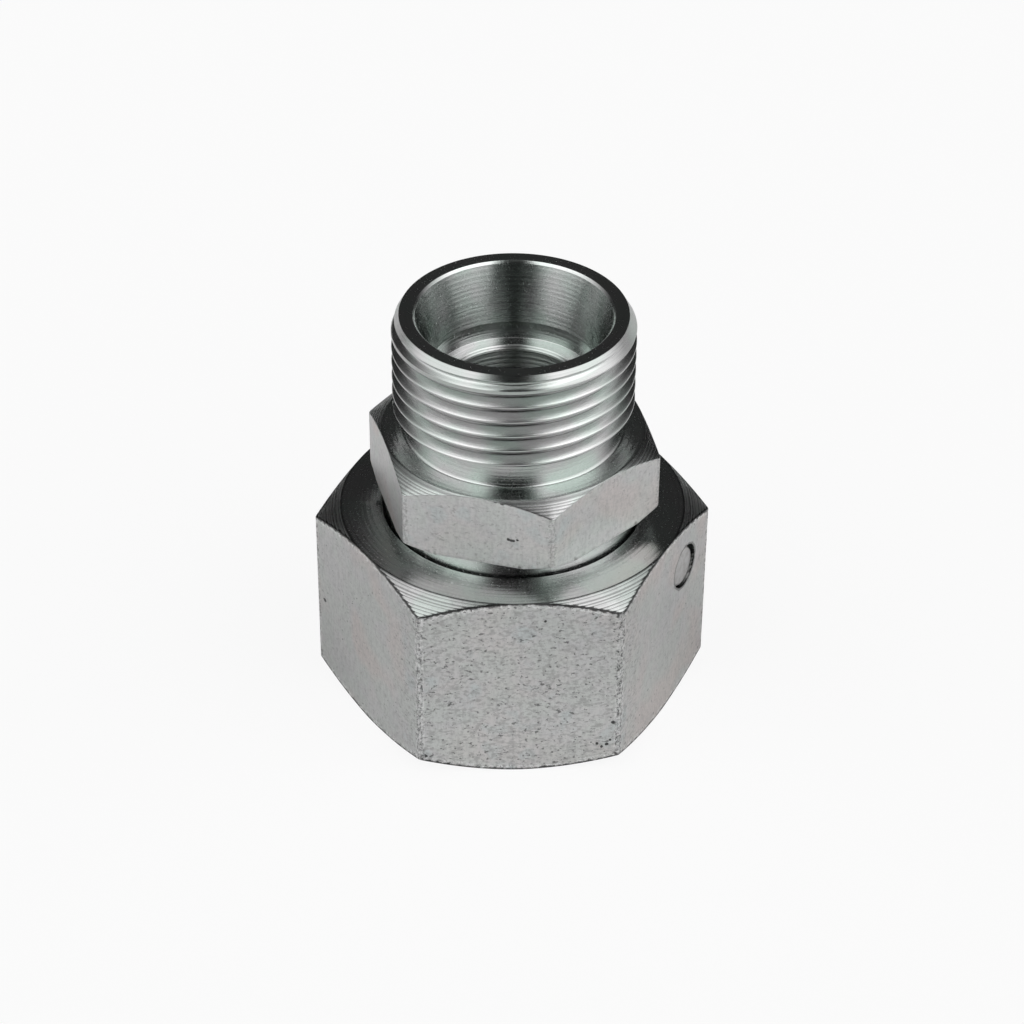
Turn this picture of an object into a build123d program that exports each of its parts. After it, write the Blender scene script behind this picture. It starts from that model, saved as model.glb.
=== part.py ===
from build123d import *
from math import atan2, cos, degrees, floor, radians, sin, sqrt, tan
import os

# A straight swivel fitting for hydraulic tube, in millimetres.
# The axis is Z: the swivel nut stands on the XY plane and the tube end points up.

# Tube socket in the upper end: mouth chamfer, sealing cone, tube seat, flow bore
tube_diameter = 15.0
cone_widening = 2.4
cone_angle = 24.0
mouth_chamfer = 0.38
tube_seat_length = 1.7
flow_diameter = 12.0
flow_chamfer = 0.3

# Thread round the socket, with its point and its undercut
tube_end_length = 12.0
thread_over_tube = 7.0
thread_pitch = 1.5
thread_point_chamfer = 0.7
undercut_depth = 1.1
undercut_length = 2.8
undercut_fillet = 0.4

# Hexagon of the body
body_flat_margin = 1.0
body_hexagon_height = 7.0
body_corner_radius = 0.5
body_lower_margin = 0.7
hexagon_to_nut_gap = 1.45

# Swivel nut
nut_thread_diameter = 26.0
nut_thread_pitch = 1.5
nut_wall = 2.9
nut_height = 19.2
nut_corner_radius = 0.35
nut_turn = 17.9
nut_mouth_chamfer = 0.3
nut_relief_depth = 0.2
nut_relief_length = 1.3
collar_step = 0.09

# Neck and nose of the body, held inside the nut
collar_clearance = 0.3
nose_depth_in_nut = 10.1
thread_end_to_nose = 1.1
nose_chamfer = 0.6
seal_section = 2.0
seal_groove_depth = 1.5
seal_side_room = 0.25
seal_floor_room = 0.05

# Retaining wire and its feed hole
wire_diameter = 3.5
nose_to_wire = 4.3
wire_seat_clearance = 0.05
wire_running_clearance = 0.1
wire_bend_inside = 0.75
wire_end_gap = 38.0
wire_end_recess = 0.45
feed_hole_clearance = 0.8
feed_hole_offset = 4.1

bevel_angle = 30.0
chamfer_angle = 45.0
thread_flank_angle = 30.0

# Heights that follow from the sizes above
hexagon_bottom = nut_height + hexagon_to_nut_gap
hexagon_top = hexagon_bottom + body_hexagon_height
rim = hexagon_top + tube_end_length
nose_face = nose_depth_in_nut
nut_thread_end = nose_face - thread_end_to_nose
wire_height = nose_face + nose_to_wire

# Radii that follow from them, and the spanner sizes
tube_radius = tube_diameter / 2
flow_radius = flow_diameter / 2
thread_radius = tube_radius + thread_over_tube / 2
undercut_radius = thread_radius - undercut_depth
inside_thread_share = 5 / 8 * sqrt(3) / 2
outside_thread_share = 17 / 24 * sqrt(3) / 2
nut_thread_minor_radius = nut_thread_diameter / 2 - inside_thread_share * nut_thread_pitch
collar_radius = nut_thread_minor_radius - collar_step
neck_radius = collar_radius - collar_clearance
seal_pitch_radius = (flow_radius + neck_radius) / 2
wire_radius = wire_diameter / 2
wire_ring_radius = (neck_radius + collar_radius) / 2
body_across_flats = 2 * (thread_radius + body_flat_margin)
nut_across_flats = nut_thread_diameter + 2 * nut_wall


def hexagon_bar(across_flats, corner_radius, turn, bottom, top, lower_face, upper_face):
    """A length of hexagon bar with both ends bevelled by turning.

    lower_face and upper_face are the radii of the flat discs left at its two ends.
    """
    reach = across_flats / sqrt(3) + 1
    slope = tan(radians(bevel_angle))
    with BuildPart() as bar:
        with BuildSketch(Plane.XY.offset(bottom)) as section:
            RegularPolygon(across_flats / 2, 6, major_radius=False, rotation=turn)
            fillet(section.vertices(), corner_radius)
        extrude(amount=top - bottom)
        with BuildSketch(Plane.XZ):
            with BuildLine():
                Polyline(
                    (0, bottom),
                    (lower_face, bottom),
                    (reach, bottom + (reach - lower_face) * slope),
                    (reach, top - (reach - upper_face) * slope),
                    (upper_face, top),
                    (0, top),
                    close=True,
                )
            make_face()
        revolve(axis=Axis.Z, mode=Mode.INTERSECT)
    return bar.part


# The wire lies in the plane of its groove. X points out of the flat with the feed hole,
# and Y runs along that flat. A tight bend leads from the groove into the hole.
hole_bearing = radians(nut_turn - 30)
across_flat = Vector(cos(hole_bearing), sin(hole_bearing), 0)
along_flat = Vector(-sin(hole_bearing), cos(hole_bearing), 0)
wire_plane = Plane(origin=(0, 0, wire_height), x_dir=across_flat, z_dir=(0, 0, 1))
hole_plane = Plane(
    origin=across_flat * (nut_across_flats / 2) + Vector(0, 0, wire_height),
    x_dir=along_flat,
    z_dir=across_flat,
)
bend_radius = wire_radius + wire_bend_inside
bend_centre_y = feed_hole_offset + bend_radius
bend_centre_x = sqrt((wire_ring_radius + bend_radius) ** 2 - bend_centre_y**2)
ring_share = wire_ring_radius / (wire_ring_radius + bend_radius)
bend_on_ring = (bend_centre_x * ring_share, bend_centre_y * ring_share)
bend_on_tail = (bend_centre_x, feed_hole_offset)
tail_end = (nut_across_flats / 2 - wire_end_recess, feed_hole_offset)
wrap_start = degrees(atan2(bend_centre_y, bend_centre_x))


# Fitting body: one turned piece of hexagon bar
with BuildPart() as body:
    add(
        hexagon_bar(
            body_across_flats,
            body_corner_radius,
            0,
            hexagon_bottom,
            hexagon_top,
            body_across_flats / 2 + body_lower_margin,
            body_across_flats / 2,
        )
    )
    # Nose and neck below the hexagon
    with BuildSketch(Plane.XZ):
        with BuildLine():
            Polyline(
                (0, nose_face),
                (neck_radius - nose_chamfer, nose_face),
                (neck_radius, nose_face + nose_chamfer),
                (neck_radius, hexagon_bottom),
                (0, hexagon_bottom),
                close=True,
            )
        make_face()
    revolve(axis=Axis.Z)
    # Threaded end above it: point, major diameter, run-out flank and undercut
    undercut_top = hexagon_top + undercut_length
    run_out = undercut_depth * tan(radians(bevel_angle))
    point_length = thread_point_chamfer / tan(radians(bevel_angle))
    with BuildSketch(Plane.XZ):
        with BuildLine():
            Polyline(
                (0, hexagon_top),
                (undercut_radius, hexagon_top),
                (undercut_radius, undercut_top - run_out),
                (thread_radius, undercut_top),
                (thread_radius, rim - point_length),
                (thread_radius - thread_point_chamfer, rim),
                (0, rim),
                close=True,
            )
        make_face()
    revolve(axis=Axis.Z)
    # The thread itself, drawn as rings of its true section and pitch. The last ring breaks
    # through the point chamfer, as the first turn of a cut thread does
    groove_depth = outside_thread_share * thread_pitch
    groove_mouth = thread_pitch * 7 / 8
    groove_foot = groove_mouth - 2 * groove_depth * tan(radians(thread_flank_angle))
    groove_count = floor((rim - undercut_top) / thread_pitch)
    groove_middle = rim - thread_pitch * groove_count / 2 + thread_pitch / 32
    with BuildSketch(Plane.XZ):
        with Locations((thread_radius, groove_middle)):
            with GridLocations(0, thread_pitch, 1, groove_count):
                Polygon(
                    (0.1, -groove_mouth / 2),
                    (0, -groove_mouth / 2),
                    (-groove_depth, -groove_foot / 2),
                    (-groove_depth, groove_foot / 2),
                    (0, groove_mouth / 2),
                    (0.1, groove_mouth / 2),
                    align=None,
                )
    revolve(axis=Axis.Z, mode=Mode.SUBTRACT)
    undercut_circles = body.edges().filter_by(GeomType.CIRCLE).filter_by(
        lambda edge: abs(edge.radius - undercut_radius) < 0.001
    )
    fillet(undercut_circles.sort_by(Axis.Z)[0], undercut_fillet)
    # Tube socket from the rim down, and the flow bore under it
    cone_slope = tan(radians(cone_angle / 2))
    cone_radius = tube_radius + cone_widening / 2
    cone_length = cone_widening / 2 / cone_slope
    socket_floor = rim - cone_length - tube_seat_length
    mouth_depth = mouth_chamfer / (tan(radians(chamfer_angle)) - cone_slope)
    with BuildSketch(Plane.XZ):
        with BuildLine():
            Polyline(
                (0, rim),
                (cone_radius + mouth_chamfer, rim),
                (cone_radius - mouth_depth * cone_slope, rim - mouth_depth),
                (tube_radius, rim - cone_length),
                (tube_radius, socket_floor),
                (flow_radius + flow_chamfer, socket_floor),
                (flow_radius, socket_floor - flow_chamfer),
                (flow_radius, nose_face + flow_chamfer),
                (flow_radius + flow_chamfer, nose_face),
                (0, nose_face),
                close=True,
            )
        make_face()
    revolve(axis=Axis.Z, mode=Mode.SUBTRACT)
    # Seal groove in the flat face of the nose
    seal_groove_half_width = seal_section / 2 + seal_side_room
    with BuildSketch(Plane.XY.offset(nose_face)):
        Circle(seal_pitch_radius + seal_groove_half_width)
        Circle(seal_pitch_radius - seal_groove_half_width, mode=Mode.SUBTRACT)
    extrude(amount=seal_groove_depth, mode=Mode.SUBTRACT)
    # Wire groove round the neck
    with BuildSketch(Plane.XZ):
        with Locations((wire_ring_radius, wire_height)):
            Circle(wire_radius + wire_running_clearance)
    revolve(axis=Axis.Z, mode=Mode.SUBTRACT)
body.part.label = "body"


# Swivel nut: threaded at the mouth, with the other half of the wire groove
with BuildPart() as swivel_nut:
    add(
        hexagon_bar(
            nut_across_flats,
            nut_corner_radius,
            nut_turn,
            0,
            nut_height,
            nut_across_flats / 2,
            nut_across_flats / 2,
        )
    )
    mouth_radius = nut_thread_diameter / 2 + nut_mouth_chamfer
    relief_radius = nut_thread_diameter / 2 + nut_relief_depth
    relief_top = nut_thread_end + nut_relief_length
    with BuildSketch(Plane.XZ):
        with BuildLine():
            Polyline(
                (0, 0),
                (mouth_radius, 0),
                (nut_thread_minor_radius, mouth_radius - nut_thread_minor_radius),
                (nut_thread_minor_radius, nut_thread_end),
                (relief_radius, nut_thread_end),
                (relief_radius, relief_top),
                (collar_radius, relief_top + relief_radius - collar_radius),
                (collar_radius, nut_height),
                (0, nut_height),
                close=True,
            )
        make_face()
    revolve(axis=Axis.Z, mode=Mode.SUBTRACT)
    with BuildSketch(Plane.XZ):
        with Locations((wire_ring_radius, wire_height)):
            Circle(wire_radius + wire_seat_clearance)
    revolve(axis=Axis.Z, mode=Mode.SUBTRACT)
    # Feed hole, drilled square to one flat until it opens into the bore
    with BuildSketch(hole_plane):
        with Locations((feed_hole_offset, 0)):
            Circle((wire_diameter + feed_hole_clearance) / 2)
    extrude(amount=-nut_across_flats / 2, mode=Mode.SUBTRACT)
swivel_nut.part.label = "swivel_nut"


# Retaining wire: a tail in the feed hole, a bend, and most of a turn in the groove
with BuildPart() as retaining_wire:
    with BuildLine(wire_plane) as wire_path:
        Line(tail_end, bend_on_tail)
        RadiusArc(bend_on_tail, bend_on_ring, bend_radius)
        CenterArc((0, 0), wire_ring_radius, wrap_start, 360 - wire_end_gap)
    with BuildSketch(Plane(wire_path.line @ 0, z_dir=wire_path.line % 0)):
        Circle(wire_radius)
    sweep(path=wire_path.line)
retaining_wire.part.label = "retaining_wire"


# Seal ring in the nose
with BuildPart() as seal_ring:
    seal_height = nose_face + seal_groove_depth - seal_floor_room - seal_section / 2
    with BuildSketch(Plane.XZ):
        with Locations((seal_pitch_radius, seal_height)):
            Circle(seal_section / 2)
    revolve(axis=Axis.Z)
seal_ring.part.label = "seal_ring"


os.makedirs("parts", exist_ok=True)
export_step(body.part, "parts/body.step")
export_step(swivel_nut.part, "parts/swivel_nut.step")
export_step(retaining_wire.part, "parts/retaining_wire.step")
export_step(seal_ring.part, "parts/seal_ring.step")
for piece in (body, swivel_nut, retaining_wire, seal_ring):
    box = piece.part.bounding_box()
    print(piece.part.label, "volume", round(piece.part.volume, 1), "from", box.min, "to", box.max)
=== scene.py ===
# %% [markdown]
# # A swivel fitting for hydraulic tube
#
# The real object is a straight fitting of zinc plated steel. Its body is one piece of hexagon bar,
# turned at both ends: a thread and a conical socket on top, and a smooth neck below. A hexagon
# nut turns freely round the neck. A bent wire in a groove between the two keeps them together.
#
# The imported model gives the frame. Every piece made here sits where that model has it, in metres.

# %% Load the fixed frame
import math

import bmesh
import bpy
import numpy as np
from mathutils import Matrix, Vector


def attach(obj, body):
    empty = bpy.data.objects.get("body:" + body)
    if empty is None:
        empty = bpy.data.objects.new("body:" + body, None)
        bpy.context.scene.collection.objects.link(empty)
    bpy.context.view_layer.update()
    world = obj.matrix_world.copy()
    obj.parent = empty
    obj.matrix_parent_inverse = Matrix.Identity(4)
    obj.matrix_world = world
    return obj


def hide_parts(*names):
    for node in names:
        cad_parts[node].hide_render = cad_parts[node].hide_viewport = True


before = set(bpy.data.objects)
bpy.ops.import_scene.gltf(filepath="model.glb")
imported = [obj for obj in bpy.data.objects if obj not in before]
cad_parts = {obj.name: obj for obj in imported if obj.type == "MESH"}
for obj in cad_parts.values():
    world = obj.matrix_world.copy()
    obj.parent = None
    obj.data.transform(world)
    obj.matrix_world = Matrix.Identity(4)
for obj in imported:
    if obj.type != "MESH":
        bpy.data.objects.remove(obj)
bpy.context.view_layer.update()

MM = 0.001

# %% [markdown]
# ## The sizes of the real fitting
#
# All shapes below are worked out in millimetres from these sizes, and turned to metres only when
# they go into a mesh. Heights are measured from the nut's mouth, which is the lowest point.

# %% Sizes in millimetres
HEX_BOTTOM, HEX_TOP, RIM = 20.65, 27.65, 39.65
BODY_FLAT, BODY_CORNER, BODY_TURN = 12.0, 0.5, 0.0
NUT_FLAT, NUT_CORNER, NUT_TURN, NUT_HEIGHT = 15.9, 0.35, 17.9, 19.2
PITCH = 1.5
MALE_RADIUS, UNDERCUT = 11.0, 9.9
RUN_OUT_FOOT, POINT_RADIUS = 29.815, 10.3
LEAD_IN, LEAD_IN_LENGTH, LEAD_IN_LIFT = 37.9, 1.3, 0.5
BORE, BORE_MOUTH, BORE_TOP, BORE_CHAMFER = 6.0, 6.3, 32.3, 0.3
TUBE_SEAT, TUBE_SEAT_TOP, CONE_MOUTH, RIM_MOUTH, RIM_CHAMFER = 7.5, 34.0, 8.86, 9.08, 0.22
NUT_MINOR, NUT_MOUTH, NUT_THREAD_END = 12.188, 13.3, 9.0
NUT_RELIEF, RELIEF_TOP, COLLAR_FOOT = 13.2, 10.3, 11.402
COLLAR, NECK, NOSE, NOSE_CHAMFER = 12.098, 11.798, 10.1, 0.6
SEAL_WALL, SEAL_CORE, SEAL_DEPTH = 10.149, 7.649, 1.5
SEAL_RING, SEAL_HEIGHT, SEAL_RADIUS, MOULD_LINE = 8.899, 10.55, 0.985, 0.02
WIRE_RING, WIRE_HEIGHT, WIRE_RADIUS, WIRE_BEND = 11.948, 14.4, 1.75, 0.75
WIRE_RECESS, WIRE_SHIFT, WIRE_TURN, CUT_END_SWELL = 0.12, 0.15, 322, 0.09
HOLE_OFFSET, HOLE_RADIUS, HOLE_FLARE = 4.1, 2.15, 0.04
BEVEL = math.tan(math.radians(30))
RUN_OUT = math.tan(math.radians(60))
COS_30 = math.cos(math.radians(30))
BODY_FOOT = BODY_FLAT + 0.7

# %% [markdown]
# ## Surfaces of turning
#
# A lathe makes a shape whose outline (radius, height) is carried round an axis. A hexagon breaks
# that rule only by its radius, which depends on the angle. So one grid serves for every solid here:
# the outline's corners are worked out for each angle at once, as one array of shape
# (corners, angles, 2). Where the nut's bevel fades out in the middle of a flat, two corners meet.

# %% Angles round the axis, closer together where the corners of a hexagon are
def angles_for(turn, half_width, step=1.25):
    """Angles of one turn, in radians: one in every step, in degrees, and more at each corner."""
    near = half_width * np.linspace(-1, 1, 9)
    beside = half_width + np.array([0.12, 0.35, 0.75, 1.3, 2.0])
    far = np.arange(-30 + step / 2, 30, step)
    far = far[np.abs(far) > beside[-1] + 0.4]
    sector = np.sort(np.concatenate([near, beside, -beside, far]))
    turn_all = (sector[None, :] + turn + 60 * np.arange(6)[:, None]).ravel()
    return np.radians(np.sort(turn_all % 360))


def corner_half_angle(flat, corner):
    """Half the angle that one rounded corner takes up, in radians."""
    middle = (flat - corner) / COS_30
    return math.atan2(corner / 2, middle + corner * COS_30)


def hexagon_radius(angle, flat, corner, turn):
    """Radius of a hexagon with rounded corners at each angle.

    With d the angle from the nearest corner, a flat is at flat / cos(30 degrees - |d|). The
    rounding is a circle whose middle lies on the corner's line, (flat - corner) / cos(30 degrees)
    from the axis.
    """
    d = (np.degrees(angle) - turn + 30) % 60 - 30
    d = np.radians(np.abs(d))
    middle = (flat - corner) / COS_30
    rounding = middle * np.cos(d) + np.sqrt(np.maximum(corner**2 - (middle * np.sin(d)) ** 2, 0))
    flats = flat / np.cos(math.radians(30) - d)
    return np.where(d < corner_half_angle(flat, corner), rounding, flats)


body_angles = angles_for(BODY_TURN, math.degrees(corner_half_angle(BODY_FLAT, BODY_CORNER)))
nut_angles = angles_for(NUT_TURN, math.degrees(corner_half_angle(NUT_FLAT, NUT_CORNER)))
print("angles in a turn:", len(body_angles), len(nut_angles))

# %% An outline with rounded corners, for all angles at once
TURNED, FLAT, THREAD = 0, 1, 2


class Outline:
    """A chain of (radius, height) corners. Each may vary with the angle, and may be rounded."""

    def __init__(self, count):
        self.count, self.corners = count, []

    def to(self, radius, height, rounding=0.0, finish=TURNED, steps=3):
        """Adds a corner. finish is the finish of the surface that leads on from it."""
        point = np.stack(np.broadcast_arrays(radius + np.zeros(self.count), height), axis=-1)
        self.corners.append((point.astype(float), rounding, finish, steps))
        return self

    def arc(self, middle, radius, start, end, steps=18):
        """Adds points middle + radius * (cos a, sin a) for a from start to end degrees."""
        for a in np.radians(np.linspace(start, end, steps + 1)):
            self.to(middle[0] + radius * math.cos(a), middle[1] + radius * math.sin(a))
        return self

    def rows(self):
        """All rows of points, and the finish of the surface after each row.

        A corner P between neighbours A and B becomes the curve (1-s)^2 S + 2 s (1-s) P + s^2 E,
        where S and E lie on the two sides, rounding * tan(half the turn) away from P.
        """
        rows, finishes = [], []
        for k, (p, rounding, finish, steps) in enumerate(self.corners):
            if rounding == 0 or k in (0, len(self.corners) - 1):
                rows.append(p)
                finishes.append(finish)
                continue
            to_a, to_b = self.corners[k - 1][0] - p, self.corners[k + 1][0] - p
            far_a, far_b = (np.linalg.norm(v, axis=1, keepdims=True) for v in (to_a, to_b))
            to_a, to_b = to_a / np.maximum(far_a, 1e-9), to_b / np.maximum(far_b, 1e-9)
            cosine = np.clip(np.sum(to_a * to_b, axis=1, keepdims=True), -0.9999, 0.9999)
            reach = rounding * np.sqrt((1 + cosine) / (1 - cosine))
            reach = np.minimum(reach, 0.45 * np.minimum(far_a, far_b))
            for s in np.linspace(0, 1, steps + 1):
                rows.append(p + reach * ((1 - s) ** 2 * to_a + s**2 * to_b))
                finishes.append(finish if s > 0.5 else self.corners[k - 1][2])
        return np.array(rows), finishes


# %% A helical strip for a thread
def thread_strip(angles, section, start, bottom, top, radius):
    """Points and faces of a thread whose rows of points run along the helix.

    Row n at angle a is at height start + PITCH * (turn + phase + a / 2 pi), held between bottom
    and top, and its radius is radius(height, a). After one turn a row meets the row that lies one
    pitch higher, so the last column is joined to the first with that shift.
    """
    phases = section / PITCH
    first_turn = math.floor((bottom - start) / PITCH) - 1
    last_turn = math.ceil((top - start) / PITCH) + 1
    phase = (np.arange(first_turn, last_turn)[:, None] + phases[None, :]).ravel()
    height = start + PITCH * (phase[:, None] + angles[None, :] / (2 * math.pi))
    height = np.clip(height, bottom, top)
    rows, columns, per_turn = len(phase), len(angles), len(phases)
    points = np.stack([radius(height, angles[None, :]), height], axis=-1)
    index = np.arange(rows * columns).reshape(rows, columns)
    beside = np.empty_like(index)
    beside[:, :-1] = index[:, 1:]
    beside[:-per_turn, -1] = index[per_turn:, 0]
    usable = np.ones((rows - 1, columns), bool)
    usable[rows - 1 - per_turn :, -1] = False
    faces = np.stack([index[:-1], beside[:-1], np.roll(beside, -1, 0)[:-1], index[1:]], axis=-1)
    return points, faces[usable]


def helix_phase(height, angle, start):
    """Distance in mm, along the axis, from the nearest point of the helix that starts there."""
    along = (height - start - PITCH * angle / (2 * math.pi)) % PITCH
    return np.minimum(along, PITCH - along)


# %% From rows of points to a mesh
WELD, SHORTEST_EDGE = 1.2e-6, 1e-7


def join_rows(rows, first):
    """Faces between the rows of a grid that closes on itself round the axis."""
    count = rows.shape[1]
    index = first + np.arange(rows.shape[0] * count).reshape(rows.shape[0], count)
    beside = np.roll(index, -1, axis=1)
    return np.stack([index[:-1], beside[:-1], beside[1:], index[1:]], axis=-1)


def in_space(rows, angles):
    """(radius, height) rows as points in metres: x = r cos a, y = r sin a, z = height."""
    radius, height = rows[..., 0], rows[..., 1]
    return np.stack([radius * np.cos(angles), radius * np.sin(angles), height], axis=-1) * MM


def make_mesh(name, points, faces, finishes):
    """A mesh with its doubles merged and its faces pointing outwards."""
    mesh = bpy.data.meshes.new(name)
    mesh.from_pydata(points.reshape(-1, 3), [], faces.tolist())
    mesh.polygons.foreach_set("material_index", np.asarray(finishes, np.int32))
    work = bmesh.new()
    work.from_mesh(mesh)
    bmesh.ops.remove_doubles(work, verts=work.verts, dist=WELD)
    bmesh.ops.dissolve_degenerate(work, edges=work.edges, dist=SHORTEST_EDGE)
    bmesh.ops.recalc_face_normals(work, faces=work.faces)
    open_edges = sum(1 for edge in work.edges if not edge.is_manifold)
    work.to_mesh(mesh)
    work.free()
    mesh.polygons.foreach_set("use_smooth", np.ones(len(mesh.polygons), bool))
    print(name, "points", len(mesh.vertices), "faces", len(mesh.polygons), "open edges", open_edges)
    return mesh


def simple_mesh(name, points, faces):
    """A mesh from points in mm, with its faces pointing outwards."""
    mesh = bpy.data.meshes.new(name)
    mesh.from_pydata(points * MM, [], faces)
    work = bmesh.new()
    work.from_mesh(mesh)
    bmesh.ops.recalc_face_normals(work, faces=work.faces)
    work.to_mesh(mesh)
    work.free()
    return mesh


def threaded_solid(name, angles, outline, *thread):
    """A mesh whose skin is the outline's rows and the thread that closes the ring between them."""
    rows, row_finish = outline(angles)
    thread_points, thread_faces = thread_strip(angles, *thread)
    rest_faces = join_rows(rows, first=thread_points.shape[0] * thread_points.shape[1])
    row_finishes = np.repeat(row_finish[:-1], len(angles))
    return make_mesh(
        name,
        np.concatenate([in_space(thread_points, angles), in_space(rows, angles)]),
        np.concatenate([thread_faces, rest_faces.reshape(-1, 4)]),
        np.concatenate([np.full(len(thread_faces), THREAD), row_finishes]),
    )


def weigh_normals(piece, angle=34):
    """Keeps flat faces flat and lets only the narrow roundings between them shade smoothly."""
    piece.data.set_sharp_from_angle(angle=math.radians(angle))
    weighted = piece.modifiers.new("weighted normals", "WEIGHTED_NORMAL")
    weighted.mode, weighted.weight, weighted.keep_sharp = "FACE_AREA", 60, True


def add_piece(name, mesh, materials, body, node):
    """Puts a mesh into the scene as the piece that stands for a node of the frame."""
    piece = bpy.data.objects.new(name, mesh)
    bpy.context.scene.collection.objects.link(piece)
    for material in materials:
        mesh.materials.append(material)
    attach(piece, body)
    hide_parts(node)
    return piece


# %% [markdown]
# ## The body
#
# From the thread's foot the outline goes down over the undercut, out over the hexagon, down the
# neck with its groove for the wire, round the nose with the groove for the seal, and up through the
# bore, the tube seat and the 24 degree cone to the rim. The thread closes the ring.

# %% The outside thread's section
# A crest of the helix passes height 38.2 where the bearing is 285 degrees.
MALE_START = 38.2 - PITCH * (285 / 360)
male_offsets = np.array(
    [0, 0.05, 0.07, 0.09, 0.115, 0.2, 0.29, 0.38, 0.47, 0.563, 0.60, 0.65, 0.75])
male_depths = np.array(
    [0, 0.0, 0.006, 0.020, 0.046, 0.186, 0.339, 0.495, 0.651, 0.808, 0.858, 0.898, 0.92])
male_section = np.concatenate([male_offsets, PITCH - male_offsets[-2:0:-1]])


def male_thread_radius(height, angle):
    """Crest radius less the depth at that distance from the helix.

    The 30 degree point cuts it above and the steep run-out flank below. Above LEAD_IN the groove
    is shallower by up to LEAD_IN_LIFT, and it ends by itself where the point's cone is smaller
    than the groove's root.
    """
    along = (height - MALE_START) / PITCH - angle / (2 * math.pi)
    groove = MALE_START + PITCH * (np.floor(along) + 0.5 + angle / (2 * math.pi))
    lift = LEAD_IN_LIFT * np.clip((groove - LEAD_IN) / LEAD_IN_LENGTH, 0, 1)
    depth = np.interp(helix_phase(height, angle, MALE_START), male_offsets, male_depths) - lift
    point = POINT_RADIUS + (RIM - height) * BEVEL
    run_out = UNDERCUT + (height - RUN_OUT_FOOT) * RUN_OUT
    return np.minimum(np.minimum(MALE_RADIUS - np.maximum(depth, 0), point), run_out)


# %% The body's outline
def body_outline(angles):
    """The body's skin from the thread's foot down, round the nose and up through the bore."""
    radius = hexagon_radius(angles, BODY_FLAT, BODY_CORNER, BODY_TURN)
    top_face = BODY_FLAT - 0.1
    top_edge = HEX_TOP - (radius - top_face) * BEVEL
    low_edge = HEX_BOTTOM + np.maximum(radius - BODY_FOOT, 0) * BEVEL
    line = Outline(len(angles))
    line.to(UNDERCUT, RUN_OUT_FOOT)
    line.to(UNDERCUT, HEX_TOP, rounding=0.4, steps=7)
    line.to(top_face, HEX_TOP, rounding=0.3)
    line.to(radius, top_edge, rounding=0.16, finish=FLAT, steps=4)
    for share in (0.08, 0.3, 0.7, 0.92):
        line.to(radius, top_edge + (low_edge - top_edge) * share, finish=FLAT)
    line.to(radius, low_edge, rounding=0.14, steps=4)
    line.to(np.minimum(radius, BODY_FOOT), HEX_BOTTOM, rounding=0.14)
    line.to(NECK, HEX_BOTTOM, rounding=0.15)
    wire_room = WIRE_RADIUS + 0.1
    reach = math.degrees(math.acos((WIRE_RING - NECK) / wire_room))
    line.arc((WIRE_RING, WIRE_HEIGHT), wire_room, 180 - reach, 180 + reach)
    line.to(NECK, NOSE + NOSE_CHAMFER, rounding=0.1)
    line.to(NECK - NOSE_CHAMFER, NOSE, rounding=0.1)
    line.to(SEAL_WALL, NOSE, rounding=0.08).to(SEAL_WALL, NOSE + SEAL_DEPTH, rounding=0.08)
    line.to(SEAL_CORE, NOSE + SEAL_DEPTH, rounding=0.08).to(SEAL_CORE, NOSE, rounding=0.08)
    line.to(BORE_MOUTH, NOSE, rounding=0.06).to(BORE, NOSE + BORE_CHAMFER, rounding=0.06)
    line.to(BORE, BORE_TOP - BORE_CHAMFER, rounding=0.06).to(BORE_MOUTH, BORE_TOP, rounding=0.06)
    line.to(TUBE_SEAT, BORE_TOP, rounding=0.1).to(TUBE_SEAT, TUBE_SEAT_TOP, rounding=0.15)
    line.to(CONE_MOUTH, RIM - RIM_CHAMFER, rounding=0.04).to(RIM_MOUTH, RIM, rounding=0.04)
    line.to(male_thread_radius(np.full_like(angles, RIM), angles), RIM)
    return line.rows()


body_mesh = threaded_solid("fitting_body", body_angles, body_outline,
                           male_section, MALE_START, RUN_OUT_FOOT, RIM, male_thread_radius)

# %% [markdown]
# ## The swivel nut
#
# The nut is made in the same way. Its thread is inside, so the crests are its smallest radius, and
# a 45 degree chamfer opens the mouth. The feed hole for the wire is the one feature that doesn't
# go round the axis. It is cut with a Boolean, and the cutter's flare leaves it a tiny chamfer.

# %% The inside thread and the nut's outline
NUT_START = 0.45
female_offsets = np.array([0, 0.094, 0.13, 0.3, 0.5, 0.54, 0.5625, 0.64, 0.75])
female_depths = np.array([0.812, 0.812, 0.75, 0.455, 0.108, 0.046, 0.02, 0.0, 0.0])
female_section = np.concatenate([female_offsets, PITCH - female_offsets[-2:0:-1]])


def female_thread_radius(height, angle):
    """Minor radius plus the depth of the thread's groove, opened by the mouth's chamfer."""
    depth = np.interp(helix_phase(height, angle, NUT_START), female_offsets, female_depths)
    return np.maximum(NUT_MINOR + depth, NUT_MOUTH - height)


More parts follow.
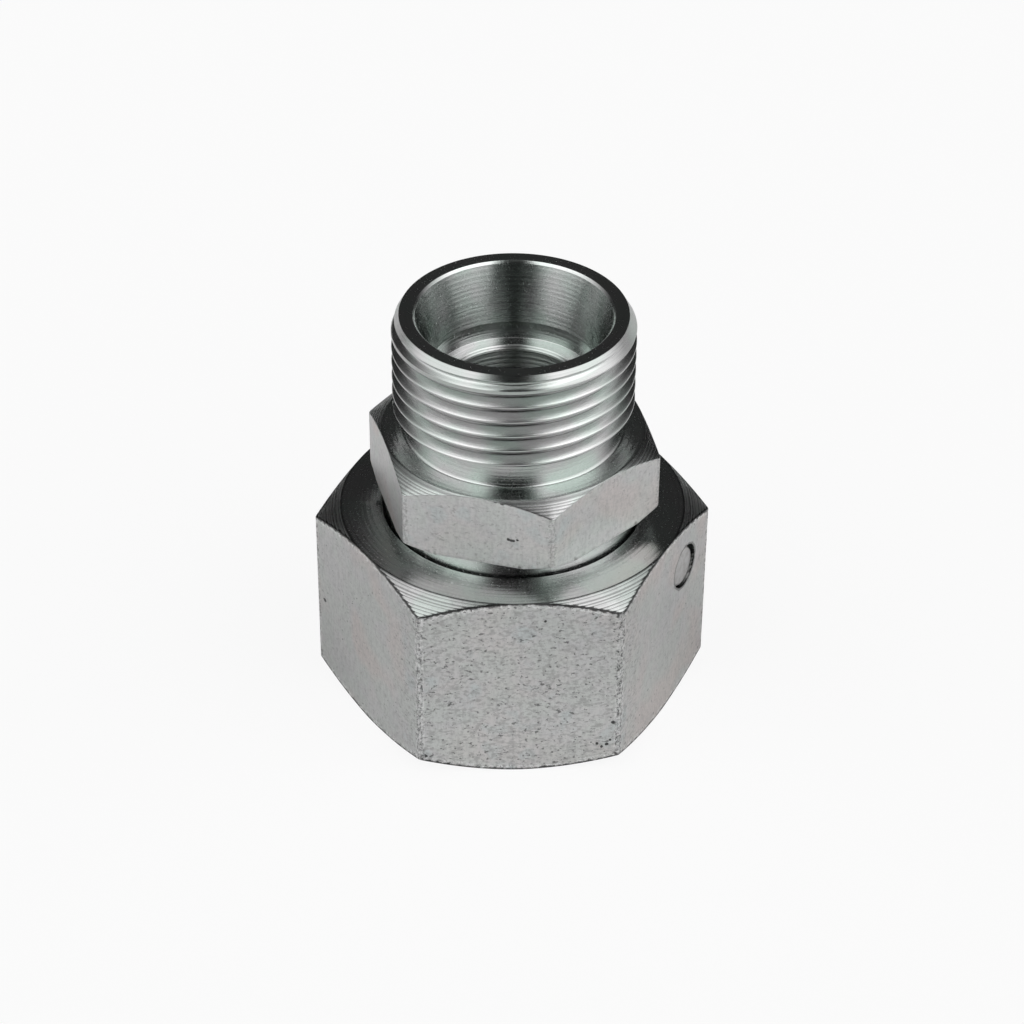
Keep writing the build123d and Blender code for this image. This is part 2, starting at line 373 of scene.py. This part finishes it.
def nut_outline(angles):
    """The nut's skin from the thread's end up through the collar and down outside to the mouth."""
    radius = hexagon_radius(angles, NUT_FLAT, NUT_CORNER, NUT_TURN)
    drop = (radius - NUT_FLAT) * BEVEL
    line = Outline(len(angles))
    line.to(female_thread_radius(np.full_like(angles, NUT_THREAD_END), angles), NUT_THREAD_END)
    line.to(NUT_RELIEF, NUT_THREAD_END, rounding=0.1).to(NUT_RELIEF, RELIEF_TOP, rounding=0.1)
    line.to(COLLAR, COLLAR_FOOT, rounding=0.08)
    wire_room = WIRE_RADIUS + 0.05
    reach = math.degrees(math.acos((COLLAR - WIRE_RING) / wire_room))
    line.arc((WIRE_RING, WIRE_HEIGHT), wire_room, -reach, reach)
    line.to(COLLAR, NUT_HEIGHT, rounding=0.07)
    line.to(NUT_FLAT, NUT_HEIGHT, rounding=0.3)
    line.to(radius, NUT_HEIGHT - drop, rounding=0.14, finish=FLAT, steps=4)
    for share in (0.03, 0.12, 0.3, 0.5, 0.7, 0.88, 0.97):
        line.to(radius, (NUT_HEIGHT - drop) * (1 - share) + drop * share, finish=FLAT)
    line.to(radius, drop, rounding=0.14, steps=4)
    line.to(NUT_FLAT, 0, rounding=0.3)
    line.to(NUT_MOUTH, 0)
    return line.rows()


nut_mesh = threaded_solid("swivel_nut_piece", nut_angles, nut_outline,
                          female_section, NUT_START, 0, NUT_THREAD_END, female_thread_radius)

# %% The feed hole: its axes and its cutter
HOLE_BEARING = math.radians(NUT_TURN - 30)
across_flat = np.array([math.cos(HOLE_BEARING), math.sin(HOLE_BEARING), 0])
along_flat = np.array([-math.sin(HOLE_BEARING), math.cos(HOLE_BEARING), 0])
UP = np.array([0, 0, 1.0])
HOLE_START, CUTTER_MARGIN = 2.0, 1


def hole_cutter(steps=96):
    """A round bar along the hole: points axis + radius * (cos a * along + sin a * up).

    It widens by as much as it goes out from HOLE_FLARE below the flat to CUTTER_MARGIN above it.
    """
    stations = [(NUT_FLAT + CUTTER_MARGIN, HOLE_RADIUS + HOLE_FLARE + CUTTER_MARGIN),
                (NUT_FLAT - HOLE_FLARE, HOLE_RADIUS), (HOLE_START, HOLE_RADIUS)]
    a = np.linspace(0, 2 * math.pi, steps, endpoint=False)
    middle = along_flat * HOLE_OFFSET + UP * WIRE_HEIGHT
    around = np.cos(a)[:, None] * along_flat + np.sin(a)[:, None] * UP
    rings = np.array([middle + across_flat * out + around * r for out, r in stations])
    ring = np.arange(steps).tolist()
    last = [i + (len(stations) - 1) * steps for i in ring]
    sides = join_rows(rings, 0).reshape(-1, 4).tolist()
    mesh = simple_mesh("hole cutter", rings.reshape(-1, 3), sides + [ring, last[::-1]])
    return bpy.data.objects.new("hole cutter", mesh)


def bored(mesh, cutter):
    """The mesh with the cutter's shape taken out of it."""
    blank = bpy.data.objects.new("nut blank", mesh)
    for thing in (blank, cutter):
        bpy.context.scene.collection.objects.link(thing)
    cut = blank.modifiers.new("feed hole", "BOOLEAN")
    cut.object, cut.operation, cut.solver = cutter, "DIFFERENCE", "EXACT"
    depsgraph = bpy.context.evaluated_depsgraph_get()
    done = bpy.data.meshes.new_from_object(blank.evaluated_get(depsgraph))
    for thing in (blank, cutter):
        bpy.data.objects.remove(thing)
    print("bored nut: points", len(done.vertices), "faces", len(done.polygons))
    return done


nut_mesh = bored(nut_mesh, hole_cutter())

# %% [markdown]
# ## The retaining wire and the seal ring
#
# The wire is fed through the hole with its tip bent inwards, so it is one path: a straight tail in
# the hole, a tight bend, and most of a turn in the groove. A circle is carried along that path.

# %% The wire's path, and a tube along a flat path
def wire_path():
    """Points of the wire's middle line and its directions, in the plane of the groove."""
    bend = WIRE_RADIUS + WIRE_BEND
    bend_y = HOLE_OFFSET + bend
    bend_x = math.sqrt((WIRE_RING + bend) ** 2 - bend_y**2)
    wrap = math.atan2(bend_y, bend_x)
    tail = np.linspace(NUT_FLAT - WIRE_RECESS, bend_x, 8)[:-1]
    straight = np.stack([tail, HOLE_OFFSET - WIRE_SHIFT * np.linspace(1, 0, len(tail))], -1)
    turn = np.linspace(-math.pi / 2, wrap - math.pi, 14)[:-1]
    curve = np.stack([bend_x + bend * np.cos(turn), bend_y + bend * np.sin(turn)], -1)
    ring = wrap + np.radians(np.linspace(0, WIRE_TURN, 200))
    loop = WIRE_RING * np.stack([np.cos(ring), np.sin(ring)], -1)
    directions = np.concatenate([
        np.tile([-1.0, 0.0], (len(tail), 1)),
        np.stack([np.sin(turn), -np.cos(turn)], -1),
        np.stack([-np.sin(ring), np.cos(ring)], -1),
    ])
    return np.concatenate([straight, curve, loop]), directions


def wire_mesh(steps=40):
    """A tube of WIRE_RADIUS: middle + r * (cos a * sideways + sin a * up), with rounded ends.

    Each row of ends holds a distance along the wire in mm and a share of its radius. The end that
    shows in the feed hole was cut with pliers and is a little thicker.
    """
    ends = np.array([(0.0, 0.45), (0.0, 0.86), (0.05, 0.955), (0.17, 1.0)])
    swell = CUT_END_SWELL * np.array([1, 1, 1, 1, 0.7, 0.3])
    path, ahead = wire_path()
    first = path[0] + ahead[0] * ends[:, :1]
    last = path[-1] - ahead[-1] * ends[::-1, :1]
    count = len(ends)
    middle = np.ones(len(path) - 2)
    path = np.concatenate([first, path[1:-1], last])
    ahead = np.concatenate([
        np.tile(ahead[0], (count, 1)), ahead[1:-1], np.tile(ahead[-1], (count, 1))])
    share = np.concatenate([ends[:, 1], middle, ends[::-1, 1]])
    share[: len(swell)] *= 1 + swell
    sideways = np.stack([ahead[:, 1], -ahead[:, 0]], -1)
    a = np.linspace(0, 2 * math.pi, steps, endpoint=False)
    radius = WIRE_RADIUS * share[:, None]
    flat = path[:, None, :] + radius[..., None] * np.cos(a)[None, :, None] * sideways[:, None, :]
    points = flat[..., :1] * across_flat + flat[..., 1:] * along_flat
    points[..., 2] = WIRE_HEIGHT + radius * np.sin(a)[None, :]
    sides = join_rows(points, 0).reshape(-1, 4).tolist()
    total = points.shape[0] * steps
    caps = [[i, (i + 1) % steps, total] for i in range(steps)]
    caps += [[total - steps + i, total - steps + (i + 1) % steps, total + 1] for i in range(steps)]
    centres = [points[0].mean(0), points[-1].mean(0)]
    mesh = simple_mesh(
        "retaining_wire_piece", np.concatenate([points.reshape(-1, 3), centres]), sides + caps)
    mesh.polygons.foreach_set("use_smooth", np.ones(len(mesh.polygons), bool))
    print("wire points", len(mesh.vertices))
    return mesh


def seal_mesh(around=240, section=48):
    """A ring of round section with the thin line that its two mould halves leave.

    radius = SEAL_RING + s cos b and height = SEAL_HEIGHT + s sin b. s is SEAL_RADIUS, and
    MOULD_LINE more near b = 0 and 180 degrees.
    """
    a = np.linspace(0, 2 * math.pi, around, endpoint=False)
    b = np.linspace(0, 2 * math.pi, section, endpoint=False)
    s = SEAL_RADIUS + MOULD_LINE * np.exp(-((np.sin(b) / 0.1) ** 2))
    ring = np.stack([SEAL_RING + s * np.cos(b), SEAL_HEIGHT + s * np.sin(b)], -1)
    rows = np.repeat(np.concatenate([ring, ring[:1]])[:, None, :], around, axis=1)
    faces = join_rows(rows, 0).reshape(-1, 4)
    return make_mesh("seal_ring_piece", in_space(rows, a), faces, np.zeros(len(faces)))


retaining_mesh, ring_mesh = wire_mesh(), seal_mesh()

# %% [markdown]
# ## Shader maths as plain expressions
#
# A finish is a network of nodes. Written as Python expressions it reads like the formula it stands
# for: Signal wraps one output socket, and +, -, * and the rest add Math nodes behind the scenes.

# %% A small class for sockets, and one for a finish
class Signal:
    """One output of a finish's nodes. Arithmetic on it adds Math nodes to that finish."""

    def __init__(self, finish, socket):
        self.finish, self.socket = finish, socket

    def math(self, operation, *inputs):
        return self.finish.node("ShaderNodeMath", enumerate(inputs), operation=operation)

    def __add__(self, other): return self.math("ADD", self, other)
    def __radd__(self, other): return self.math("ADD", other, self)
    def __sub__(self, other): return self.math("SUBTRACT", self, other)
    def __rsub__(self, other): return self.math("SUBTRACT", other, self)
    def __mul__(self, other): return self.math("MULTIPLY", self, other)
    def __rmul__(self, other): return self.math("MULTIPLY", other, self)
    def __truediv__(self, other): return self.math("DIVIDE", self, other)
    def sine(self): return self.math("SINE", self)
    def root(self): return self.math("SQRT", self)
    def size(self): return self.math("ABSOLUTE", self)
    def least(self, other): return self.math("MINIMUM", self, other)
    def most(self, other): return self.math("MAXIMUM", self, other)

    def between(self, low, high):
        """0 below low, 1 above high, smooth between. With low above high it falls instead."""
        return self.finish.node(
            "ShaderNodeMapRange", {0: self, 1: low, 2: high, 3: 0.0, 4: 1.0},
            interpolation_type="SMOOTHSTEP")


class Network:
    """The nodes of a material or of the world."""

    def __init__(self, owner):
        self.owner = owner
        owner.use_nodes = True
        self.tree = owner.node_tree
        self.tree.nodes.clear()

    def node(self, kind, inputs=(), output=0, **settings):
        """Adds one node: its settings first, then the values or links of its inputs."""
        made = self.tree.nodes.new(kind)
        for name, value in settings.items():
            setattr(made, name, value)
        for key, value in dict(inputs).items():
            if isinstance(value, Signal):
                self.tree.links.new(value.socket, made.inputs[key])
            else:
                made.inputs[key].default_value = value
        return Signal(self, made.outputs[output]) if len(made.outputs) else None

    def ends_in(self, shader, kind="ShaderNodeOutputMaterial"):
        self.node(kind, {"Surface": shader})


class Finish(Network):
    """A material, with the coordinates that its patterns use, in mm."""

    def __init__(self, name):
        super().__init__(bpy.data.materials.new(name))
        place = self.node("ShaderNodeTexCoord", output="Object")
        self.place = self.node("ShaderNodeVectorMath", {0: place, 3: 1 / MM}, operation="SCALE")
        self.x, self.y, self.z = (
            self.node("ShaderNodeSeparateXYZ", {0: self.place}, axis) for axis in range(3))
        self.radius = (self.x * self.x + self.y * self.y).root()

    def vector(self, x, y, z):
        return self.node("ShaderNodeCombineXYZ", {0: x, 1: y, 2: z})

    def distance(self, point):
        """How far the surface's own point is from a fixed one, in mm."""
        return self.node("ShaderNodeVectorMath", {0: self.place, 1: point}, output=1,
                         operation="DISTANCE")

    def noise(self, at, scale=1.0, detail=2.0, roughness=0.5):
        """Smooth noise of about one feature per mm at scale 1, with values round 0.5."""
        return self.node("ShaderNodeTexNoise",
                         {"Vector": at, "Scale": scale, "Detail": detail, "Roughness": roughness},
                         noise_dimensions="3D")

    def line_noise(self, along, scale, detail=2.0, roughness=0.6):
        """Noise that varies along one number only, as the marks of a turning tool do."""
        return self.node("ShaderNodeTexNoise",
                         {"W": along, "Scale": scale, "Detail": detail, "Roughness": roughness},
                         noise_dimensions="1D")

    def blend(self, share, first, second):
        """The first colour where share is 0, the second where it is 1."""
        return self.node("ShaderNodeMix", {0: share, 6: first, 7: second}, output=2,
                         data_type="RGBA")

    def bump(self, height, depth_mm):
        """Light and shade of a relief whose full height is depth_mm."""
        return self.node("ShaderNodeBump", {"Height": height, "Distance": depth_mm * MM})

    def surface(self, colour, roughness, relief, **constants):
        """The finished surface. Constants go straight onto the shader's own sockets."""
        inputs = {"Base Color": colour, "Roughness": roughness, "Normal": relief}
        inputs.update({name.replace("_", " "): value for name, value in constants.items()})
        self.ends_in(self.node("ShaderNodeBsdfPrincipled", inputs))
        return self.owner

    def turned_surface(self, colour, roughness, relief, stretch):
        """Bare metal whose highlights are stretched across the fine rings that a lathe leaves."""
        return self.surface(colour, roughness, relief, Metallic=1.0, Anisotropic=stretch,
                            Anisotropic_Rotation=0.25)


# %% [markdown]
# ## Zinc plated steel in three finishes
#
# The same plating looks different on each surface because of what is under it. A turned face has
# fine rings, which stretch every highlight across them. A flat of the bar is matt and full of small
# pits. The thread is clean and a little brighter. Every mark is placed by the point's own x, y and
# z in millimetres, so it stays on the steel when the nut turns.

# %% Where a point lies on a hexagon
def hexagon(f, turn):
    """Distance out along the nearest flat's normal, and distance along that flat from the corner.

    With n the three normals, the distances |p . n| are sorted. The largest is the nearest flat's,
    and the gap to the second, divided by cos 30 degrees, is how far the corner is.
    """
    normals = [math.radians(turn + 30 + 60 * k) for k in range(3)]
    first, second, third = ((f.x * math.cos(a) + f.y * math.sin(a)).size() for a in normals)
    out = first.most(second).most(third)
    middle = first + second + third - out - first.least(second).least(third)
    return out, (out - middle) / COS_30


def bevel_gap(f, flat, low, high, low_face):
    """Distance in mm from the nearer of the two bevels' edges, measured up or down a flat."""
    from_top = (high - f.z) - (f.radius - flat) * BEVEL
    from_foot = (f.z - low) - (f.radius - low_face).most(0.0) * BEVEL
    return from_top.least(from_foot)


def nicks(f, places):
    """1 inside small ragged dents, 0 outside. places holds (x, y, z, radius) of each, in mm."""
    ragged = (f.noise(f.place, 3.0, detail=2.0) - 0.5) * 1.6
    mask = 0.0
    for x, y, z, size in places:
        mask = (f.distance((x, y, z)) / size + ragged).between(1.0, 0.75) + mask
    return mask.least(1.0)


def burr(f, centre, radius):
    """1 on a thin broken line round a hole, 0 elsewhere. centre is (x, y, z) on the face, in mm."""
    line_radius = radius + 0.12
    ragged = (f.noise(f.place, 2.0, detail=3.0, roughness=0.7) - 0.5) * 0.5
    return ((f.distance(centre) - line_radius).size() + ragged).between(0.15, 0.07)


# %% Turned faces
def grey(level, warm=0.0):
    """A metal's grey as a colour, with a little more red than blue where warm is above 0."""
    return (level * (1 + warm), level, level * (1 - warm), 1.0)


def tinted(level, red, green, blue):
    """A metal's grey with each of its three parts made a little stronger or weaker."""
    return (level * red, level * green, level * blue, 1.0)


def plating(f, level, lines):
    """The plating's grey, greener in broad patches, darker in the lines left by the tool."""
    green = f.noise(f.place, 0.3, detail=1.0)
    colour = f.blend(lines.between(0.3, 0.7), grey(level * 0.84), grey(level * 1.04))
    return f.blend(green.between(0.35, 0.65) * 0.7, colour, tinted(level, 0.87, 0.98, 0.92))


def turned_finish(name, level, roughness, flat, turn, wear, rim_height=99.0):
    """Steel as a lathe leaves it, with spiral marks on a hexagon's bevels and rings in the bore.

    flat and turn are the hexagon's. wear, 0 to 1, is how worn its edges are. A face at rim_height
    is a little smoother than the rest, and without one the height is set out of reach.
    """
    f = Finish(name)
    mark_pitch, ring_pitch, spiral = 0.5, 0.55, 1.37
    along = f.radius - spiral * f.z
    wander = f.line_noise(along, 1.1, detail=1.0)
    tool_marks = (along * (2 * math.pi / mark_pitch) + wander * 7.0).sine() * 0.5 + 0.5
    lines = f.line_noise(along + 31.0, 4.5, detail=4.0, roughness=0.7)
    patches = f.noise(f.place, 0.22, detail=4.0, roughness=0.6)
    grain = f.noise(f.place, 4.0, detail=3.0, roughness=0.7)
    specks = grain.between(0.60, 0.72)

    out, _ = hexagon(f, turn)
    ragged = (f.noise(f.place, 2.4, detail=3.0, roughness=0.75) - 0.5) * 0.34 + tool_marks * 0.08
    on_bevel = (f.radius - flat).between(0.02, 0.12)
    on_face = (f.z - rim_height).between(-0.1, -0.02)
    in_bore = (BORE_MOUTH + 0.05 - f.radius).between(0.0, 0.2)
    in_socket = (RIM_MOUTH + 0.12 - f.radius).between(0.0, 0.1)
    outer_edge = (flat - out + ragged).between(0.24, 0.12) * on_bevel * wear
    inner_edge = ((f.radius - flat).size() + ragged * 0.2).between(0.11, 0.04)
    edges = (outer_edge + inner_edge * (0.3 + 0.5 * wear)).least(1.0)

    colour = plating(f, level, lines)
    colour = f.blend(tool_marks.between(0.45, 0.12) * on_bevel * 0.6, colour, grey(level * 0.25))
    colour = f.blend(grain.between(0.42, 0.25) * 0.5, colour, grey(level * 0.45))
    colour = f.blend(edges * 0.9, colour, grey(0.025))
    shine = roughness + 0.10 * (patches - 0.5) + 0.14 * (lines - 0.5) + 0.2 * specks
    shine = shine - 0.05 * on_face + 0.08 * on_bevel + 0.12 * in_bore
    wobble = f.line_noise(f.z, 2.0) * 6.0
    rings = (f.z * (2 * math.pi / ring_pitch) + wobble).sine() * in_bore
    frost = f.noise(f.place, 6.0, detail=2.0) * in_socket
    relief = tool_marks * 0.55 + lines * 0.45 + grain * 0.15 + rings * 2.2 + frost * 0.5
    return f.turned_surface(colour, shine, f.bump(relief, 0.008), 0.95)


# %% Flats of the hexagon bar
def flat_finish(name, level, roughness, flat, turn, low, high, low_face, pitted, pit_facing, wear,
                marks, hole=None):
    """Drawn bar: matt, pitted and stained, chipped below its edges and dirty at its corners.

    flat, turn, low and high are the hexagon's, and low_face is the radius where its lower bevel
    starts. The flats that face the bearing pit_facing have pits of strength pitted. wear, 0 to 1,
    is how worn the edges are. marks are nicks, and hole is the middle of a hole in a flat.
    """
    f = Finish(name)
    _, corner_gap = hexagon(f, turn)
    gap = bevel_gap(f, flat, low, high, low_face)
    pit_angle = math.radians(pit_facing)
    facing = (f.x * math.cos(pit_angle) + f.y * math.sin(pit_angle)) / f.radius
    chosen = facing.between(0.7, 0.88)
    grit = f.noise(f.vector(f.x * 0.55, f.y * 0.55, f.z), 3.5, detail=3.0, roughness=0.62)
    dots = f.noise(f.vector(f.x * 0.7, f.y * 0.7, f.z), 2.8, detail=2.0, roughness=0.6)
    grain = f.noise(f.place, 4.5, detail=3.0, roughness=0.7)
    drawn = f.noise(f.vector(f.x * 1.6, f.y * 1.6, f.z * 0.6), 2.2, detail=4.0, roughness=0.7)
    cloud = f.noise(f.place, 0.11, detail=3.0)
    tint = f.noise(f.place, 0.34, detail=2.0)
    teal = tint.between(0.55, 0.68) * chosen
    warm = f.noise(f.place, 0.18, detail=1.0).between(0.45, 0.65)

    depth = chosen * pitted + 0.25
    pits = dots.between(0.385, 0.32) * depth
    teeth = (f.radius * (2 * math.pi / 0.36)).sine() * 0.05
    ragged = (f.noise(f.place, 2.4, detail=3.0, roughness=0.75) - 0.5) * 0.4
    edge = (gap + ragged * 1.4 + teeth).between(0.26, 0.10) * wear
    chips = gap.between(0.8, 0.3) * dots.between(0.50, 0.56) * wear
    beside = (corner_gap + ragged * 1.3).between(0.50, 0.36) * grain.between(0.53, 0.44)
    foot = (f.z - low).between(3.4, 0.6) * corner_gap.between(1.8, 0.2)
    dirt = (dots + gap.between(1.2, 0.0) * 0.07 + foot * 0.09).between(0.69, 0.73)
    dark = edge + beside * (0.25 + 0.6 * wear) + dirt * 0.7 * wear + nicks(f, marks)
    if hole:
        dark = dark + burr(f, hole, HOLE_RADIUS) * 0.6
    dark = dark.least(1.0)
    rubbed = (flat / COS_30 - 0.22 - f.radius).between(0.05, 0.0)
    bright = rubbed * wear * drawn.between(0.4, 0.6)

    colour = f.blend(cloud.between(0.3, 0.7), grey(level * 0.96, -0.004), grey(level * 1.03, 0.006))
    colour = f.blend(tint.between(0.56, 0.40) * 0.45, colour, tinted(level, 0.95, 1.01, 0.96))
    colour = f.blend(teal * 0.4, colour, tinted(level, 0.86, 1.0, 1.0))
    colour = f.blend(warm * (0.6 - 0.4 * chosen), colour, tinted(level, 1.07, 0.97, 0.94))
    colour = f.blend(grit.between(0.54, 0.36) * depth * 0.5, colour, grey(level * 0.42))
    colour = f.blend(drawn.between(0.60, 0.32) * 0.22, colour, grey(level * 0.4))
    colour = f.blend(grain.between(0.55, 0.8) * 0.3, colour, grey(level * 1.35))
    colour = f.blend(chips * 0.7, colour, grey(level * 1.4))
    colour = f.blend(pits * 0.75, colour, grey(level * 0.12))
    colour = f.blend(dark * 0.88, colour, grey(0.03))
    colour = f.blend(bright * 0.5, colour, grey(level * 1.4))
    shine = roughness + 0.10 * (grain - 0.5) + 0.10 * pits
    relief = f.bump(grit * 0.7 + drawn * 0.5 + chips * 1.6 - pits * 0.5 - dark, 0.022)
    return f.surface(colour, shine, relief, Metallic=1.0)


# %% Thread, wire and rubber
def thread_finish(name, level, roughness):
    """A thread's clean metal, with painted shade at radius 10 to 10.25 mm, in the outside thread's
    root.
    """
    f = Finish(name)
    lines = f.line_noise(f.radius * 2.0 - 0.9 * f.z, 6.0, detail=3.0, roughness=0.7)
    patches = f.noise(f.place, 0.5, detail=3.0)
    # Painted shade: the colour is darkened in the outside thread's root, where the crests shade it.
    root = (10.25 - f.radius).between(0.0, 0.1) * f.radius.between(9.95, 10.0)
    colour = f.blend(root * 0.8, plating(f, level, lines), grey(level * 0.25))
    return f.turned_surface(colour, roughness + 0.1 * (patches - 0.5), f.bump(lines, 0.006), 0.9)


def wire_finish(name, level):
    """Bright drawn wire with a fine grain and a few duller smears."""
    f = Finish(name)
    grain = f.noise(f.place, 1.6, detail=4.0, roughness=0.7)
    smears = f.noise(f.vector(f.x, f.y, f.z * 4), 1.0, detail=2.0)
    colour = f.blend(grain.between(0.35, 0.7), grey(level * 1.05), grey(level * 0.8, 0.02))
    return f.surface(colour, 0.34 + 0.2 * (smears - 0.5), f.bump(grain, 0.015), Metallic=1.0)


def rubber_finish(name):
    """Black rubber with a faint grey bloom."""
    f = Finish(name)
    bloom = f.noise(f.place, 0.6, detail=4.0, roughness=0.65)
    skin = f.noise(f.place, 9.0, detail=2.0)
    black, bloomed = (0.012, 0.012, 0.013, 1), (0.026, 0.027, 0.03, 1)
    colour = f.blend(bloom.between(0.35, 0.7), black, bloomed)
    return f.surface(colour, 0.42 + 0.2 * (bloom - 0.5), f.bump(skin, 0.004), Metallic=0.0)


# %% The finishes of this fitting
BODY_NICKS = [
    (2.85, -12.0, 23.68, 0.17), (3.1, -12.0, 23.6, 0.15), (3.35, -12.0, 23.63, 0.17),
    (3.65, -12.0, 23.75, 0.13), (1.6, -12.0, 27.56, 0.2), (2.3, -12.0, 27.5, 0.26),
    (3.0, -12.0, 27.45, 0.2)]
NUT_NICKS = [
    (-4.2, -18.0, 4.4, 0.35), (13.0, -12.5, 5.4, 0.22), (12.5, -12.7, 2.8, 0.2),
    (12.1, -12.9, 2.5, 0.22), (11.7, -13.0, 2.9, 0.16), (12.8, -12.6, 3.3, 0.14),
    (-3.9, -18.0, 2.6, 0.25), (-3.3, -17.8, 1.9, 0.2), (-16.5, -6.5, 8.9, 0.3),
    (13.2, -12.4, 17.6, 0.3), (7.0, -14.5, 17.2, 0.15)]
hole_middle = tuple(across_flat * NUT_FLAT + along_flat * HOLE_OFFSET + UP * WIRE_HEIGHT)
body_turned = turned_finish(
    "turned zinc of the body", 0.64, 0.18, BODY_FLAT, BODY_TURN, wear=0.2, rim_height=RIM)
body_flats = flat_finish(
    "drawn flats of the body", 0.74, 0.42, BODY_FLAT, BODY_TURN, HEX_BOTTOM, HEX_TOP, BODY_FOOT,
    pitted=0.1, pit_facing=-90, wear=0.15, marks=BODY_NICKS)
body_thread = thread_finish("rolled thread of the body", 0.64, 0.2)
nut_turned = turned_finish("turned zinc of the nut", 0.58, 0.2, NUT_FLAT, NUT_TURN, wear=1.0)
nut_flats = flat_finish(
    "drawn flats of the nut", 0.70, 0.42, NUT_FLAT, NUT_TURN, 0.0, NUT_HEIGHT, NUT_FLAT,
    pitted=0.65, pit_facing=NUT_TURN - 90, wear=1.0, marks=NUT_NICKS, hole=hole_middle)
nut_thread = thread_finish("cut thread of the nut", 0.55, 0.3)
wire_steel = wire_finish("bent steel wire", 0.62)
seal_rubber = rubber_finish("black seal rubber")
print("finishes:", len(bpy.data.materials))

# %% The four pieces in place
fitting = add_piece("fitting_body", body_mesh, [body_turned, body_flats, body_thread],
                    "fitting", "body")
nut = add_piece("swivel_nut_piece", nut_mesh, [nut_turned, nut_flats, nut_thread],
                "swivel", "swivel_nut")
wire = add_piece("retaining_wire_piece", retaining_mesh, [wire_steel],
                 "swivel", "retaining_wire")
seal = add_piece("seal_ring_piece", ring_mesh, [seal_rubber],
                 "fitting", "seal_ring")
weigh_normals(fitting)
weigh_normals(nut)
weigh_normals(wire, 40)
print("pieces:", [piece.name for piece in (fitting, nut, wire, seal)])

# %% [markdown]
# ## A plain studio
#
# Bare metal shows what stands round it, so the studio is part of the finish. The fitting stands on
# a white floor. The air round it is bright on both sides, dim overhead and nearly dark behind, with
# a dark gap towards the camera. One small soft lamp hangs overhead.

# %% Floor
WHITE = (1, 1, 1, 1)


def plain(name, colour, camera_level):
    """A matt surface of which the camera alone sees a share, camera_level, as pure white."""
    f = Finish(name)
    matt = f.node("ShaderNodeBsdfDiffuse", {"Color": colour})
    glow = f.node("ShaderNodeEmission", {"Color": WHITE, "Strength": 1.0})
    seen = f.node("ShaderNodeLightPath", output="Is Camera Ray")
    f.ends_in(f.node("ShaderNodeMixShader", {0: seen * camera_level, 1: matt, 2: glow}))
    return f.owner


def card(name, corners, material):
    """A flat four-cornered card of the studio."""
    mesh = bpy.data.meshes.new(name)
    mesh.from_pydata(corners, [], [(0, 1, 2, 3)])
    mesh.materials.append(material)
    made = bpy.data.objects.new(name, mesh)
    bpy.context.scene.collection.objects.link(made)
    return made


FLOOR_HALF = 3.0
card("floor", [(-FLOOR_HALF, -FLOOR_HALF, 0), (FLOOR_HALF, -FLOOR_HALF, 0),
               (FLOOR_HALF, FLOOR_HALF, 0), (-FLOOR_HALF, FLOOR_HALF, 0)],
     plain("white floor", (0.82, 0.82, 0.82, 1), 0.9))

# %% The air round the fitting, as a tent of white cloth
SIDE_LEVEL, HIGH_LEVEL, ROOF_LEVEL, BACK_LEVEL, GAP_LEVEL = 1.27, 0.7, 0.2, 0.026, 0.008
RIGHT_SIDE_MORE = 0.08
CAMERA_BEARING = math.radians(-75.0)


def cosine(degrees):
    return math.cos(math.radians(degrees))


air = Network(bpy.data.worlds.new("studio air"))
bpy.context.scene.world = air.owner
direction = air.node("ShaderNodeTexCoord", output="Generated")
east, north, height = (
    air.node("ShaderNodeSeparateXYZ", {0: direction}, axis) for axis in range(3))
level_length = (east * east + north * north).root().most(0.001)
camera_east, camera_north = math.cos(CAMERA_BEARING), math.sin(CAMERA_BEARING)
towards_camera = (east * camera_east + north * camera_north) / level_length
towards_right = (north * camera_east - east * camera_north) / level_length
front_end = towards_camera.between(cosine(10), cosine(38))
back_end = towards_camera.between(cosine(138), cosine(85))
side_level = height.between(0.45, 0.8) * HIGH_LEVEL + SIDE_LEVEL
sides = front_end * back_end * (towards_right * RIGHT_SIDE_MORE + 1.0) * side_level
roof = height.between(0.91, 0.985)
behind = towards_camera.between(0.0, -0.5) * BACK_LEVEL
tent = sides * (1.0 - roof) + roof * ROOF_LEVEL + behind + GAP_LEVEL
seen = air.node("ShaderNodeLightPath", output="Is Camera Ray")
strength = tent * (1.0 - seen) + seen
background = air.node("ShaderNodeBackground", {"Color": WHITE, "Strength": strength})
air.ends_in(background, "ShaderNodeOutputWorld")


# %% One soft lamp overhead
def lamp(name, place, size, level):
    """A square soft lamp that shines downwards, with level = power / (pi * area)."""
    data = bpy.data.lights.new(name, "AREA")
    data.shape, data.size, data.energy = "SQUARE", size, level * math.pi * size**2
    made = bpy.data.objects.new(name, data)
    made.location = place
    bpy.context.scene.collection.objects.link(made)


lamp("overhead lamp", (0, 0, 0.65), size=0.16, level=0.5)

# %% Camera
CAMERA_PLACE = Vector((0.05859, -0.21897, 0.18047))
YAW, PITCH_DOWN, ROLL = math.radians(14.992), math.radians(35.66), math.radians(-0.49)
camera_data = bpy.data.cameras.new("camera")
camera_data.lens, camera_data.sensor_width = 105.31, 36.0
camera = bpy.data.objects.new("camera", camera_data)
level_ahead = Vector((-math.sin(YAW), math.cos(YAW), 0))
ahead = level_ahead * math.cos(PITCH_DOWN) - Vector((0, 0, math.sin(PITCH_DOWN)))
level_right = Vector((math.cos(YAW), math.sin(YAW), 0))
level_up = level_right.cross(ahead)
right = level_right * math.cos(ROLL) - level_up * math.sin(ROLL)
up = level_right * math.sin(ROLL) + level_up * math.cos(ROLL)
turned = Matrix((right, up, -ahead)).transposed().to_4x4()
camera.matrix_world = Matrix.Translation(CAMERA_PLACE) @ turned
bpy.context.scene.collection.objects.link(camera)
bpy.context.scene.camera = camera
bpy.context.scene.view_settings.view_transform = "Standard"
print("camera looks along", [round(v, 3) for v in ahead])
